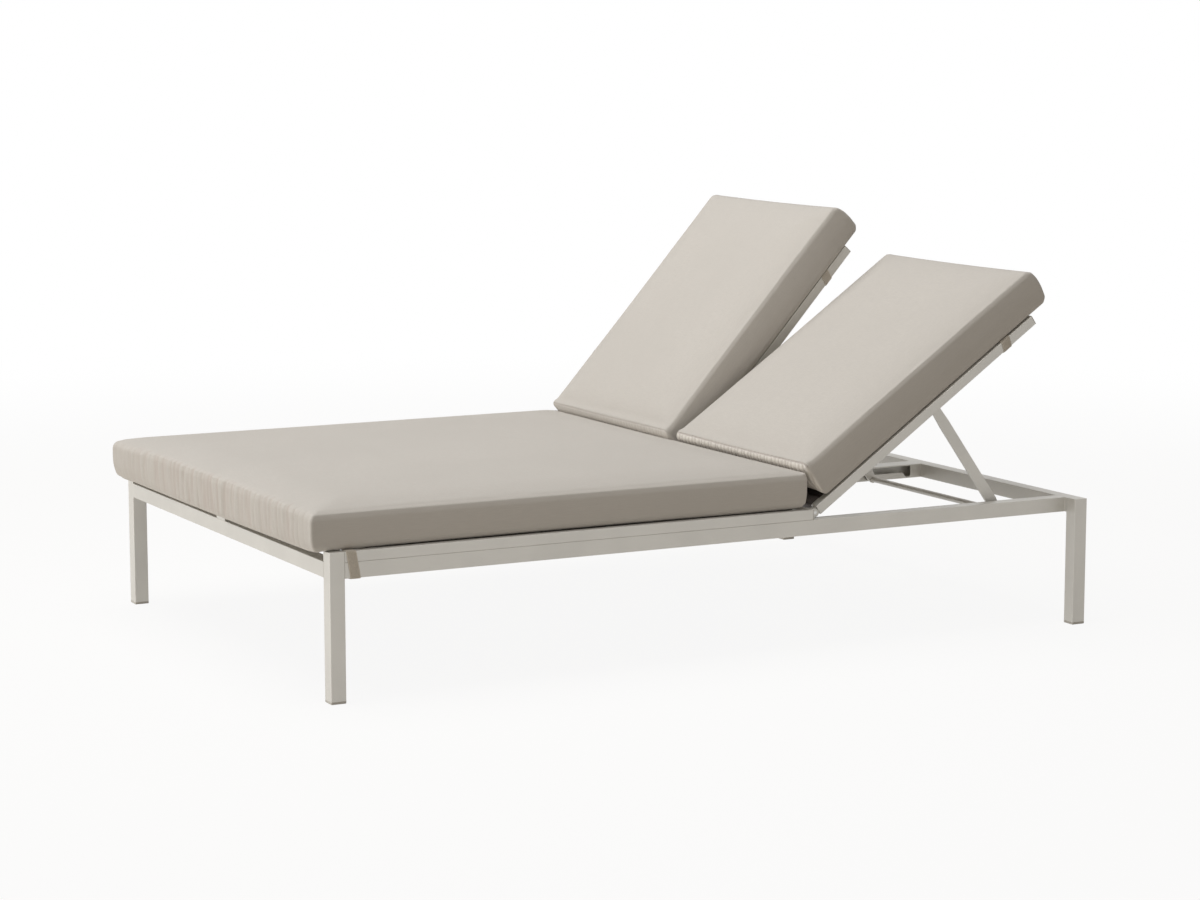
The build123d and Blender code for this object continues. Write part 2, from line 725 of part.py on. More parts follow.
seat_strap_x = foot_rail_inner_x + seat_strap_setback + strap_width / 2
with BuildPart() as seat_straps:
    for side in SIDES.values():
        corners = [
            (side * rail_inner_y, rail_bottom),
            (side * half_width, rail_bottom),
            (side * half_width, deck_top),
            (side * seat_tube_inner_y, deck_top),
            (side * rail_inner_y, rail_top),
        ]
        add_strap(ground, seat_strap_x, corners)
finish(seat_straps, "seat_straps")

half_tube = deck_tube / 2
for name, side in SIDES.items():
    with BuildPart() as back_straps:
        for y in hinge_ys:
            y1, y2 = side * y - half_tube, side * y + half_tube
            corners = [(y1, -half_tube), (y2, -half_tube), (y2, half_tube), (y1, half_tube)]
            add_strap(back_plane(name), back_strap_along, corners)
    finish(back_straps, f"{name}_back_straps")

print("hinge", hinge_x, hinge_z, "prop length", prop_length, "folded foot", folded_x)
for name in SIDES:
    print(name, "prop pivot", prop_pivot(back_angles[name]), "foot", prop_feet[name])
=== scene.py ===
"""Double chaise lounger: cushions, slings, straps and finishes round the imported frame. Metres, +Z up."""

import math
from functools import partial

import bpy
import numpy as np
from bpy.props import FloatProperty, FloatVectorProperty, PointerProperty
from mathutils import Matrix, Vector, noise
from mathutils.bvhtree import BVHTree


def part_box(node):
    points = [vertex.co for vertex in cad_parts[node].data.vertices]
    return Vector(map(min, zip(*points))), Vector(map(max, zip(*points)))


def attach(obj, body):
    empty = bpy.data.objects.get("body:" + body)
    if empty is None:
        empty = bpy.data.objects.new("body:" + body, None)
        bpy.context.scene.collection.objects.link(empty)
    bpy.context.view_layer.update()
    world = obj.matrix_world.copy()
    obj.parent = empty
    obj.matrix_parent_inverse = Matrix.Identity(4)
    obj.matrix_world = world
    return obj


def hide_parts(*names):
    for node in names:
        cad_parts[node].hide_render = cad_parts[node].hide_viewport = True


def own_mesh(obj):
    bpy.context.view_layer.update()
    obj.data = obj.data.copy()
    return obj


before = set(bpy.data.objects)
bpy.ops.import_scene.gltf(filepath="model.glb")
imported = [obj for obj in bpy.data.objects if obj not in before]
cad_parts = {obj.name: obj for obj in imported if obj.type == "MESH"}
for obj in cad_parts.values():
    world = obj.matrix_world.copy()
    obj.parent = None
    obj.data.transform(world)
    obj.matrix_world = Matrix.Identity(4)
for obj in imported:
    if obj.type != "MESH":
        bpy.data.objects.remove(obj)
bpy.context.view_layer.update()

bl_info = {
    "name": "Double Chaise Lounger",
    "version": (1, 0, 0),
    "blender": (4, 5, 0),
    "location": "View3D > Sidebar > Lounger",
    "description": "Builds the cushions, slings, straps and finishes of a double chaise lounger",
    "category": "Add Mesh",
}

# X runs from the foot end to the head end, and Y from the left side to the right side
SIDES = {"left": -1, "right": 1}
HINGE = (0.27201, 0, 0.3265)
BACK_ANGLES = {"left": math.radians(34.65), "right": math.radians(48.1)}
MM = 0.001
WHITE = (1, 1, 1, 1)

# Where the photo was taken from, and the way that its camera looks
CAMERA_PLACE = (-3.4957, -6.6729, 1.5069)
CAMERA_DIRECTION = (0.46255, 0.87488, -0.14367)

# How far the lower end of a back cushion moves along the back, at heights above the hinge
ROLL_HEIGHTS = (0.014, 0.025, 0.04, 0.06, 0.075, 0.085, 0.093, 0.1, 0.106, 0.112)
END_ROLL = {
    "left": (0, -0.001, -0.006, -0.012, -0.0155, -0.017, -0.0165, -0.0145, -0.011, -0.0075),
    "right": (0, -0.001, -0.003, -0.005, -0.006, -0.0055, -0.004, 0, 0.004, 0.007),
}

SLING_HALF_THICKNESS = 0.35 * MM
STRAP_WIDTH = 27 * MM
STRAP_THICKNESS = 1.5 * MM
STRAP_GAP = 0.3 * MM


# User settings

def color_setting(name, description, default):
    return FloatVectorProperty(name=name, description=description, default=default, subtype="COLOR",
                               min=0, max=1)


def length_setting(name, description, default):
    return FloatProperty(name=name, description=description, default=default, unit="LENGTH", precision=5)


def power_setting(name, description, default):
    return FloatProperty(name=name, description=description, default=default, unit="POWER")


def number_setting(name, description, default):
    return FloatProperty(name=name, description=description, default=default)


class LoungerColors(bpy.types.PropertyGroup):
    """The colours of the lounger's materials."""

    coat: color_setting("Powder coat", "Colour of the coated aluminium frame", (0.668, 0.652, 0.61))
    # Painted highlight: the lighter colour laid along the frame's edges
    coat_edge_highlight: color_setting("Coat at edges", "Colour of the coat where edges are rubbed", (0.74, 0.73, 0.7))
    fabric: color_setting("Cushion fabric", "Colour of the cushion covers", (0.553, 0.524, 0.482))
    # Painted shade: the darker colour laid in the creases of the pleats and gathers and along the seam
    crease_shade_color: color_setting("Fabric in folds", "Colour of the fabric in its folds", (0.49, 0.43, 0.39))
    sling: color_setting("Sling", "Colour of the woven slings", (0.112, 0.095, 0.085))
    strap: color_setting("Straps", "Colour of the webbing straps", (0.58, 0.53, 0.455))
    plastic: color_setting("Plastic fittings", "Colour of the end caps and glides", (0.52, 0.5, 0.46))
    spline: color_setting("Sling splines", "Colour of the cords in the sling hems", (0.045, 0.042, 0.04))
    steel: color_setting("Steel hardware", "Colour of the pins, bolts and washers", (0.58, 0.57, 0.55))


class LoungerCushions(bpy.types.PropertyGroup):
    """How the cushions are cut, filled and gathered."""

    shrink: length_setting("Cut smaller by", "How far a cushion starts inside its full shape", 0.001)
    swell: length_setting("Swell limit", "The most that the filling pushes the cover out", 0.012)
    crown_reach: length_setting("Crown reach", "How far from an edge the swelling still grows", 0.13)
    pressure: number_setting("Filling pressure", "Pressure of the filling while it swells", 4.0)
    gather_depth: length_setting("Gather depth", "Depth of the gathers on the foot end", 0.0064)
    gather_width: length_setting("Gather width", "Usual width of one gather on the foot end", 0.021)
    foot_bulge: length_setting("Foot bulge", "How far the foot end's corners are stuffed out", 0.009)
    foot_hang: length_setting("Foot hang", "How far the lower edge hangs down at the foot end", 0.011)
    side_lift: length_setting("Side lift", "Lift of the seat cushion's lower left edge", 0.004)
    head_press: length_setting("Head press", "Reach of the head end under the left back", 0.004)
    back_edge_height: length_setting("Back edge height", "Height of a back cushion's upper edges", 0.098)
    upper_end_fill: length_setting("Upper end fill", "Filling out of a back cushion's upper end", 0.0045)
    outer_side_fill: length_setting("Outer side fill", "Filling out of the right back's outer side", 0.008)
    pleat_pitch: length_setting("Pleat pitch", "Distance between pleats at the backs' lower ends", 0.016)
    seam_inset: length_setting("Seam inset", "Distance of the seams from the edges of the cover", 0.003)
    weave_pitch: length_setting("Weave pitch", "Distance between threads of the cover", 0.0011)


class LoungerStudio(bpy.types.PropertyGroup):
    """The camera, the lamps, the sky and the floor."""

    lens: FloatProperty(name="Lens", description="Focal length of the camera", default=91.01, unit="CAMERA")
    top_lamp: power_setting("Top lamp", "Power of the lamp overhead", 126)
    foot_lamp: power_setting("Foot lamp", "Power of the lamp at the foot end", 192)
    sky: number_setting("Sky light", "Strength of the even light all round", 0.3)
    sky_color: color_setting("Sky colour", "Colour of the even light all round", (1.0, 0.93, 0.845))
    floor: color_setting("Floor", "Colour of the floor", (0.79, 0.755, 0.7))


# Shader tools

class Signal:
    """A shader socket that can be used in sums: each operator adds the Math node that it stands for."""

    def __init__(self, graph, socket):
        self.graph = graph
        self.socket = socket

    def maths(self, operation, *values):
        return self.graph.add("ShaderNodeMath", {"operation": operation}, values)

    def __add__(self, other):
        return self.maths("ADD", self, other)

    def __radd__(self, other):
        return self.maths("ADD", other, self)

    def __sub__(self, other):
        return self.maths("SUBTRACT", self, other)

    def __rsub__(self, other):
        return self.maths("SUBTRACT", other, self)

    def __mul__(self, other):
        return self.maths("MULTIPLY", self, other)

    def __rmul__(self, other):
        return self.maths("MULTIPLY", other, self)

    def sine(self):
        return self.maths("SINE", self)

    def absolute(self):
        return self.maths("ABSOLUTE", self)

    def above(self, low, high):
        """0 up to low, 1 from high, and a smooth rise between."""
        values = {"Value": self, "From Min": low, "From Max": high}
        return self.graph.add("ShaderNodeMapRange", {"interpolation_type": "SMOOTHSTEP"}, values)


class Graph:
    """The nodes of a material or a world."""

    def __init__(self, holder):
        holder.use_nodes = True
        self.tree = holder.node_tree
        self.tree.nodes.clear()

    def add(self, kind, settings=None, values=(), output=0):
        """Adds a node, makes its settings, then sets or links its sockets by place or by name."""
        node = self.tree.nodes.new(kind)
        for setting, value in (settings or {}).items():
            setattr(node, setting, value)
        pairs = values.items() if isinstance(values, dict) else enumerate(values)
        for place, value in pairs:
            if isinstance(value, Signal):
                self.tree.links.new(value.socket, node.inputs[place])
            else:
                node.inputs[place].default_value = value
        return Signal(self, node.outputs[output]) if node.outputs else node

    def seen_straight(self):
        """1 for what the camera or a reflection sees, and 0 for the light that falls on other things."""
        camera = self.add("ShaderNodeLightPath", output="Is Camera Ray")
        return camera.maths("MAXIMUM", camera, self.add("ShaderNodeLightPath", output="Is Glossy Ray"))


class Finish(Graph):
    """One material and its nodes."""

    def __init__(self, name):
        self.material = bpy.data.materials.new(name)
        super().__init__(self.material)

    def places(self, turn=0.0):
        """Where a point is on the piece, in metres, turned about Y by turn."""
        spot = self.add("ShaderNodeTexCoord", output="Object")
        if turn:
            about_y = {"rotation_type": "Y_AXIS"}
            spot = self.add("ShaderNodeVectorRotate", about_y, {"Vector": spot, "Angle": turn})
        return spot

    def split(self, spot):
        first = self.add("ShaderNodeSeparateXYZ", None, (spot,))
        return [Signal(self, socket) for socket in first.socket.node.outputs]

    def stretched(self, spot, scales):
        return self.add("ShaderNodeVectorMath", {"operation": "MULTIPLY"}, (spot, scales))

    def noise(self, spot, scale, detail=2.0):
        return self.add("ShaderNodeTexNoise", None, {"Vector": spot, "Scale": scale, "Detail": detail})

    def blend(self, amount, first, second):
        """Goes from the first colour to the second as amount goes from 0 to 1."""
        values = {0: amount, 6: rgba(first), 7: rgba(second)}
        return self.add("ShaderNodeMix", {"data_type": "RGBA"}, values, output=2)

    def attribute(self, name):
        return self.add("ShaderNodeAttribute", {"attribute_name": name}, output="Fac")

    def bump(self, height, depth, normal=None):
        values = {"Height": height, "Distance": depth}
        if normal:
            values["Normal"] = normal
        return self.add("ShaderNodeBump", None, values)

    def surface(self, values):
        """Ends the material in a Principled surface with these values."""
        shader = self.add("ShaderNodeBsdfPrincipled", None, values)
        self.add("ShaderNodeOutputMaterial", None, {"Surface": shader})
        return self.material


def rgba(color):
    return color if isinstance(color, Signal) else (*color, 1.0)


def tinted(color, share):
    """A colour made lighter or darker by a share."""
    return tuple(min(1.0, c * share) for c in color)


def powder_coat(colors):
    """Matt coated aluminium: fine orange peel, faint cloudiness and a painted highlight that lightens the
    edges in patches.
    """
    coat = Finish("powder_coat")
    spot = coat.places()
    cloud = coat.noise(spot, 7.0, 3.0)
    grain = coat.noise(spot, 900.0, 3.0)
    # Noise that breaks the painted edge highlight up into patches
    edge_highlight_patches = coat.noise(spot, 60.0, 4.0).above(0.45, 0.75)
    round_edge = coat.add("ShaderNodeBevel", {"samples": 4}, {"Radius": 0.0016})
    flat_face = coat.add("ShaderNodeNewGeometry", output="Normal")
    facing = coat.add("ShaderNodeVectorMath", {"operation": "DOT_PRODUCT"}, (round_edge, flat_face),
                      output="Value")
    edge = (1 - facing).above(0.02, 0.2)
    plain = coat.blend(cloud.above(0.3, 0.7), tinted(colors.coat, 0.97), tinted(colors.coat, 1.03))
    # Painted highlight: edges are made lighter, in patches, towards the highlight colour
    base = coat.blend(edge * (0.35 + 0.65 * edge_highlight_patches), plain, colors.coat_edge_highlight)
    return coat.surface({
        "Base Color": base,
        "Metallic": 0.3,
        "Roughness": 0.4 + 0.09 * grain - 0.06 * edge,
        "Normal": coat.bump(grain, 0.00008),
    })


def cushion_cloth(colors, pads, name, turn):
    """Woven outdoor cloth, with pleats and a stitched seam where the cover is marked so, painted shade in
    the creases of the pleats and gathers, and a pleated band painted lighter.
    """
    cloth = Finish(name)
    spot = cloth.places(turn)
    x, y, z = cloth.split(spot)
    threads = 2 * math.pi / pads.weave_pitch
    waves = [(axis * threads).sine() for axis in (x, y, z)]
    weave = waves[0] * waves[1] + waves[1] * waves[2] + waves[2] * waves[0]
    slub = cloth.noise(cloth.stretched(spot, (40.0, 900.0, 900.0)), 1.0, 1.0)
    cross_slub = cloth.noise(cloth.stretched(spot, (900.0, 40.0, 900.0)), 1.0, 1.0)
    soft = cloth.noise(spot, 9.0, 3.0)
    shade = cloth.noise(spot, 2.2, 2.0).above(0.3, 0.7)
    pleated = cloth.attribute("pleated")
    gathered = cloth.attribute("gathered")
    wander = cloth.noise(spot, 30.0, 2.0)
    slant = cloth.attribute("along") * 120.0 * wander
    uneven = cloth.noise(cloth.stretched(spot, (6.0, 55.0, 6.0)), 1.0, 2.0)
    fold_wave = (y * (2 * math.pi / pads.pleat_pitch) + 9.0 * uneven + slant).sine() * (0.35 + uneven)
    folds = (fold_wave * 0.5 + 0.5) * pleated
    seam = cloth.attribute("along") - pads.seam_inset
    stitched = (1 - seam.absolute().above(0.0004, 0.0022)) * cloth.attribute("front_top")
    base = cloth.blend(shade, tinted(colors.fabric, 0.975), tinted(colors.fabric, 1.025))
    threaded = cloth.blend((slub + cross_slub).above(0.75, 1.25), tinted(colors.fabric, 0.955), base)
    # Painted light: the pleated band is made much lighter than the fabric, to stand in for light falling on
    # it
    pleat_band_painted_light = cloth.blend(pleated * 0.9, threaded, tinted(colors.fabric, 1.6))
    # Painted shade in the creases of the pleats and gathers; the same darker colour also runs along the
    # stitched seam
    deep = (1 - fold_wave).above(1.1, 2.0) * pleated * 0.45 + gathered * 0.7 + stitched * 0.7
    low = cloth.bump(soft, 0.0025)
    pleats = cloth.bump(folds + wander * pleated * 0.5 - stitched * 0.5, 0.0028, low)
    fine = cloth.bump(weave * 0.25 + slub * 0.6 + cross_slub * 0.6, 0.00012, pleats)
    return cloth.surface({
        "Base Color": cloth.blend(deep, pleat_band_painted_light, colors.crease_shade_color),
        "Roughness": 0.86 + 0.06 * slub,
        "Sheen Weight": 0.12,
        "Sheen Roughness": 0.45,
        "Normal": fine,
    })


def sling_weave(colors, name, turn):
    """Coated yarn in a basket weave, with a dull shine on the yarns."""
    cloth = Finish(name)
    spot = cloth.places(turn)
    x, y = cloth.split(spot)[:2]
    yarn_pitch = 0.0026
    turns = 2 * math.pi / yarn_pitch
    yarns = (x * turns).sine() * (y * turns).sine()
    flecks = cloth.noise(spot, 260.0, 2.0)
    base = cloth.blend(yarns.above(-0.5, 0.7), tinted(colors.sling, 0.65), tinted(colors.sling, 1.25))
    return cloth.surface({
        "Base Color": cloth.blend(flecks.above(0.55, 0.75) * 0.5, base, tinted(colors.sling, 1.8)),
        "Roughness": 0.5 + 0.2 * flecks,
        "Normal": cloth.bump(yarns + 0.4 * flecks, 0.0004),
    })


def webbing(colors, name, turn):
    """Ribbed strap webbing with lighter, firmer edges."""
    cloth = Finish(name)
    spot = cloth.places(turn)
    x, y, z = cloth.split(spot)
    rib_pitch, thread_pitch = 0.0018, 0.0014
    ribs = (x * (2 * math.pi / rib_pitch)).sine() * 0.5
    threads = ((y + z) * (2 * math.pi / thread_pitch)).sine() * 0.5
    fuzz = cloth.noise(spot, 500.0, 3.0)
    rim = cloth.attribute("across").absolute().above(0.78, 0.9)
    base = cloth.blend(fuzz.above(0.35, 0.65), tinted(colors.strap, 0.92), tinted(colors.strap, 1.05))
    return cloth.surface({
        "Base Color": cloth.blend(rim * 0.6, base, tinted(colors.strap, 1.25)),
        "Roughness": 0.82 + 0.1 * fuzz,
        "Sheen Weight": 0.15,
        "Normal": cloth.bump(ribs + threads + fuzz * 0.5 + rim * 0.6, 0.00025),
    })


def moulded_plastic(colors):
    """Fine-grained nylon, a little shinier on rubbed spots."""
    plastic = Finish("moulded_plastic")
    spot = plastic.places()
    grain = plastic.noise(spot, 1400.0, 2.0)
    rubbed = plastic.noise(spot, 45.0, 3.0).above(0.5, 0.7)
    return plastic.surface({
        "Base Color": plastic.blend(rubbed, colors.plastic, tinted(colors.plastic, 1.06)),
        "Roughness": 0.55 - 0.12 * rubbed + 0.08 * grain,
        "Normal": plastic.bump(grain, 0.00006),
    })


def spline_cord(colors):
    """Extruded vinyl cord with faint drawing lines along it."""
    cord = Finish("spline_cord")
    lines = cord.noise(cord.stretched(cord.places(), (15.0, 1500.0, 1500.0)), 1.0, 2.0)
    return cord.surface({
        "Base Color": cord.blend(lines, tinted(colors.spline, 0.8), tinted(colors.spline, 1.4)),
        "Roughness": 0.38 + 0.15 * lines,
        "Normal": cord.bump(lines, 0.00005),
    })


def brushed_steel(colors):
    """Stainless steel with fine brushing and duller spots."""
    steel = Finish("brushed_steel")
    spot = steel.places()
    brushed = steel.noise(steel.stretched(spot, (1800.0, 60.0, 1800.0)), 1.0, 2.0)
    dull = steel.noise(spot, 35.0, 3.0).above(0.4, 0.7)
    return steel.surface({
        "Base Color": steel.blend(brushed, tinted(colors.steel, 0.88), tinted(colors.steel, 1.08)),
        "Metallic": 1.0,
        "Roughness": 0.24 + 0.14 * brushed + 0.12 * dull,
        "Normal": steel.bump(brushed, 0.00004),
    })


# Mesh tools

class Lie:
    """How a cushion or sling lies: along it, across it and out of its face, from a starting point."""

    def __init__(self, origin, angle):
        along = Vector((math.cos(angle), 0, math.sin(angle)))
        out = Vector((-math.sin(angle), 0, math.cos(angle)))
        turn = Matrix((along, (0, 1, 0), out))
        self.to_local = turn.to_4x4() @ Matrix.Translation(-Vector(origin))
        self.to_frame = self.to_local.inverted()


def back_lie(name):
    return Lie(HINGE, BACK_ANGLES[name])


SEAT_LIE = Lie((0, 0, 0), 0)


def new_piece(name, places, faces, material, smooth=True):
    """A mesh object from points and faces."""
    mesh = bpy.data.meshes.new(name)
    mesh.from_pydata([tuple(p) for p in places], [], faces)
    mesh.materials.append(material)
    mesh.update()
    mesh.polygons.foreach_set("use_smooth", [smooth] * len(mesh.polygons))
    piece = bpy.data.objects.new(name, mesh)
    bpy.context.scene.collection.objects.link(piece)
    return piece


def coordinates(mesh):
    places = np.empty(len(mesh.vertices) * 3, np.float32)
    mesh.vertices.foreach_get("co", places)
    return places.reshape(-1, 3).astype(float)


def normals(mesh):
    found = np.empty(len(mesh.vertices) * 3, np.float32)
    mesh.vertices.foreach_get("normal", found)
    return found.reshape(-1, 3).astype(float)


def set_coordinates(mesh, places):
    mesh.vertices.foreach_set("co", places.astype(np.float32).ravel())
    mesh.update()


def set_attribute(mesh, name, values):
    layer = mesh.attributes.get(name) or mesh.attributes.new(name, "FLOAT", "POINT")
    layer.data.foreach_set("value", np.asarray(values, np.float32))


def rise(values, low, high):
    """0 up to low, 1 from high, and a smooth rise between, for an array."""
    t = np.clip((values - low) / (high - low), 0, 1)
    return t * t * (3 - 2 * t)


def steps(low, high, edge, fine, coarse):
    """Places from low to high: fine steps within edge of both ends and coarse steps between."""
    rim = max(1, round(edge / fine))
    middle = max(1, round((high - low - 2 * edge) / coarse))
    first = [low + edge * i / rim for i in range(rim)]
    between = [low + edge + (high - low - 2 * edge) * i / middle for i in range(middle)]
    last = [high - edge * i / rim for i in range(rim, -1, -1)]
    return first + between + last


def box_skin(us, vs, ws):
    """The points and quads of a box's surface, with its edges shared."""
    numbers, places, faces = {}, [], []
    n, m, k = len(us) - 1, len(vs) - 1, len(ws) - 1

    def at(*spot):
        if spot not in numbers:
            numbers[spot] = len(places)
            places.append((us[spot[0]], vs[spot[1]], ws[spot[2]]))
        return numbers[spot]

    for i in range(n):
        for j in range(m):
            faces.append((at(i, j, k), at(i + 1, j, k), at(i + 1, j + 1, k), at(i, j + 1, k)))
            faces.append((at(i, j, 0), at(i, j + 1, 0), at(i + 1, j + 1, 0), at(i + 1, j, 0)))
        for j in range(k):
            faces.append((at(i, 0, j), at(i + 1, 0, j), at(i + 1, 0, j + 1), at(i, 0, j + 1)))
            faces.append((at(i, m, j), at(i, m, j + 1), at(i + 1, m, j + 1), at(i + 1, m, j)))
    for i in range(m):
        for j in range(k):
            faces.append((at(0, i, j), at(0, i, j + 1), at(0, i + 1, j + 1), at(0, i + 1, j)))
            faces.append((at(n, i, j), at(n, i + 1, j), at(n, i + 1, j + 1), at(n, i, j + 1)))
    return places, faces


# Cushions

def cushion_form(node, lie):
    """The CAD cushion in its own directions: a tree to cast rays on, and its lowest and highest corners."""
    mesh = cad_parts[node].data
    local = [lie.to_local @ v.co for v in mesh.vertices]
    tree = BVHTree.FromPolygons(local, [tuple(p.vertices) for p in mesh.polygons])
    points = np.array(local)
    return tree, points.min(0), points.max(0)


def wrapped(places, tree, low, high, inner):
    """Moves each point of a box onto the form, seen from a smaller box inside it."""
    moved = []
    outside = 0.2
    core_low, core_high = Vector(low + inner), Vector(high - inner)
    for p in places:
        core = Vector(max(a, min(b, c)) for a, b, c in zip(core_low, core_high, p))
        outward = (Vector(p) - core).normalized()
        hit = tree.ray_cast(core + outward * outside, -outward)[0]
        moved.append(hit if hit is not None else Vector(p))
    return np.array(moved)


def from_edges(places, low, high):
    """How far each point of a box's surface is from the box's nearest edge."""
    from_sides = np.minimum(places - low, high - places)
    return np.sort(from_sides, axis=1)[:, 1]


def filled(piece, low, high, pads):
    """Blows the cover up with Blender's cloth, and keeps its swelling outwards, up to a limit."""
    scene = bpy.context.scene
    first_frame, last_frame = 1, 20
    start = coordinates(piece.data)
    outward = normals(piece.data)
    cloth = piece.modifiers.new("Filling", "CLOTH")
    cloth.settings.quality = 4
    cloth.settings.mass = 0.3
    cloth.settings.tension_stiffness = 25
    cloth.settings.compression_stiffness = 25
    cloth.settings.shear_stiffness = 8
    cloth.settings.bending_stiffness = 1.5
    cloth.settings.use_pressure = True
    cloth.settings.uniform_pressure_force = pads.pressure
    cloth.settings.effector_weights.gravity = 0
    cloth.collision_settings.use_collision = False
    cloth.point_cache.frame_start = first_frame
    cloth.point_cache.frame_end = last_frame
    for number in range(first_frame, last_frame + 1):
        scene.frame_set(number)
    shaped = piece.evaluated_get(bpy.context.evaluated_depsgraph_get())
    moved = coordinates(shaped.data) - start
    piece.modifiers.remove(cloth)
    scene.frame_set(first_frame)
    swelling = np.maximum((moved * outward).sum(1), 0)
    crown = np.sin(np.clip(from_edges(start, low, high) / pads.crown_reach, 0, 1) * math.pi / 2)
    share = pads.swell * crown * np.tanh(swelling / pads.swell)
    set_coordinates(piece.data, start + outward * share[:, None])


def subdivided(piece):
    """Applies one smooth subdivision."""
    rounder = piece.modifiers.new("Smoother", "SUBSURF")
    rounder.levels = rounder.render_levels = 1
    shaped = piece.evaluated_get(bpy.context.evaluated_depsgraph_get())
    mesh = bpy.data.meshes.new_from_object(shaped)
    piece.modifiers.remove(rounder)
    piece.data = mesh
    mesh.polygons.foreach_set("use_smooth", [True] * len(mesh.polygons))


def square_up(places, corner, toward, axes, reach, power):
    """Makes a rounded edge crisper: points near it move out from the middle of its rounding."""
    farthest = 1.6 * reach
    middle = np.array(corner) - np.array(toward) * reach
    offset = (places[:, axes] - middle) * toward
    inside = (offset > 0).all(axis=1)
    near = offset[inside]
    size = np.linalg.norm(near, axis=1)
    share = ((near / size[:, None]) ** power).sum(1) ** (-1 / power)
    grown = near * np.where(size < farthest, share, 1)[:, None]
    places[np.ix_(inside, axes)] = middle + grown * toward


def gathers(across, height, width):
    """How deep the cloth dips at each point: narrow creases between soft, uneven folds."""
    seed = 11.0
    dips = np.empty(len(across))
    for i, (v, w) in enumerate(zip(across, height)):
        sway = 0.3 * noise.noise(Vector((v / width * 0.4, w * 12, seed)))
        broad = noise.noise(Vector((v / width / 1.6 + sway, w * 3, seed + 3)))
        small = noise.noise(Vector((v / width * 1.5 + sway, w * 5, seed + 7)))
        dips[i] = 1 - min(1.0, abs(broad) * 3.4) * 0.65 - min(1.0, abs(small) * 3) * 0.35
    return dips


def square_foot_end(places, low, high):
    """Makes the foot end crisp at its lower right corner and down its left corner."""
    squared = places.copy()
    square_up(squared, (low[0], low[2]), (-1, -1), [0, 2], 0.026, 4)
    square_up(squared, (high[1], low[2]), (1, -1), [1, 2], 0.026, 4)
    places += (squared - places) * rise(places[:, 1], 0.5, 0.62)[:, None]
    square_up(places, (low[0], low[1]), (-1, -1), [0, 1], 0.022, 5)


def gather_foot_end(places, lift, low, pads):
    """Gathers the foot end and stuffs its corners, and gives how deep in a fold each point lies."""
    # u, v and w are views of places, so adding to one of them moves the points
    u, v, w = places.T
    face = 1 - rise(u, low[0] + 0.006, low[0] + 0.024)
    fade = rise(lift, 0.0, 0.12) * (1 - rise(lift, 0.9, 1.0))
    across = [-0.65, -0.59, -0.5, -0.42, -0.3, -0.1, 0.2, 0.34, 0.48, 0.6, 0.65]
    strength = [0.1, 0.5, 0.95, 0.8, 0.65, 0.95, 1, 0.8, 0.6, 0.3, 0.1]
    there = face * fade * np.interp(v, across, strength)
    dips = np.zeros(len(v))
    chosen = there > 0.001
    dips[chosen] = gathers(v[chosen], w[chosen], pads.gather_width)
    u += there * pads.gather_depth * (dips - 0.35)
    stuffed = rise(np.abs(v), 0.3, 0.6) * rise(lift, 0.0, 0.3) * (1 - rise(lift, 0.75, 1.0))
    u -= pads.foot_bulge * face * stuffed * np.where(v > 0, 1, 0.35)
    return there * rise(dips, 0.35, 0.95)


def hang_foot_edge(places, lift, low, pads):
    """Lets the foot end's lower edge hang down, most right of its middle."""
    across = [-0.65, -0.6, -0.5, -0.2, 0.2, 0.5, 0.6, 0.65]
    hang = np.interp(places[:, 1], across, [0.1, 0.45, 0.6, 0.85, 1, 1, 0.7, 0.2])
    near_foot = 1 - rise(places[:, 0], low[0] + 0.014, low[0] + 0.036)
    places[:, 2] -= pads.foot_hang * hang * near_foot * (1 - rise(lift, 0.0, 0.35))


def shape_seat(mesh, low, high, pads):
    """Gives the seat cushion its gathered foot end, its crisp edges and a head end under the left back."""
    places = coordinates(mesh)
    square_foot_end(places, low, high)
    lift = (places[:, 2] - low[2]) / (high[2] - low[2])
    folds = gather_foot_end(places, lift, low, pads)
    hang_foot_edge(places, lift, low, pads)
    square_up(places, (high[0], high[2]), (1, 1), [0, 2], 0.02, 6)
    u, v, w = places.T
    pressed = rise(u, high[0] - 0.03, high[0]) * rise(lift, 0.5, 0.9) * (1 - rise(v, -0.02, 0))
    u += pads.head_press * pressed
    left_side = (1 - rise(v, low[1], low[1] + 0.03)) * rise(u, low[0] + 0.06, low[0] + 0.12)
    w += pads.side_lift * left_side * (1 - rise(lift, 0.0, 0.25))
    set_coordinates(mesh, places)
    # How deep in a gather each point lies, which the cloth uses to paint shade in the creases
    set_attribute(mesh, "gathered", folds)


def shape_back(mesh, low, high, pads, name):
    """Gives a back cushion crisp upper edges, a lower end that rolls onto the seat and a full upper end."""
    places = coordinates(mesh)
    top = low[2] + pads.back_edge_height
    square_up(places, (low[0] + 0.006, top), (-1, 1), [0, 2], 0.026, 7)
    square_up(places, (high[1] - 0.002, top), (1, 1), [1, 2], 0.02, 2.5)
    u, v, w = places.T
    lift = (w - low[2]) / (high[2] - low[2])
    near_end = 1 - rise(u, low[0] + 0.012, low[0] + 0.09)
    moves = END_ROLL[name]
    from_outside = v - low[1] if name == "left" else high[1] - v
    bulge = np.interp(w, ROLL_HEIGHTS, moves) - moves[-1]
    rolled = near_end * (moves[-1] + bulge * (0.4 + 0.6 * rise(from_outside, 0, 0.05)))
    far_end = rise(u, high[0] - 0.09, high[0] - 0.01)
    fill = pads.upper_end_fill * (1 if name == "left" else 0.3)
    rolled += far_end * fill * np.interp(lift, [0, 0.3, 0.6, 0.85, 1], [0.1, 0.5, 0.9, 1.2, 1])
    u += rolled
    if name == "right":
        v += pads.outer_side_fill * rise(v, high[1] - 0.1, high[1])
    set_coordinates(mesh, places)


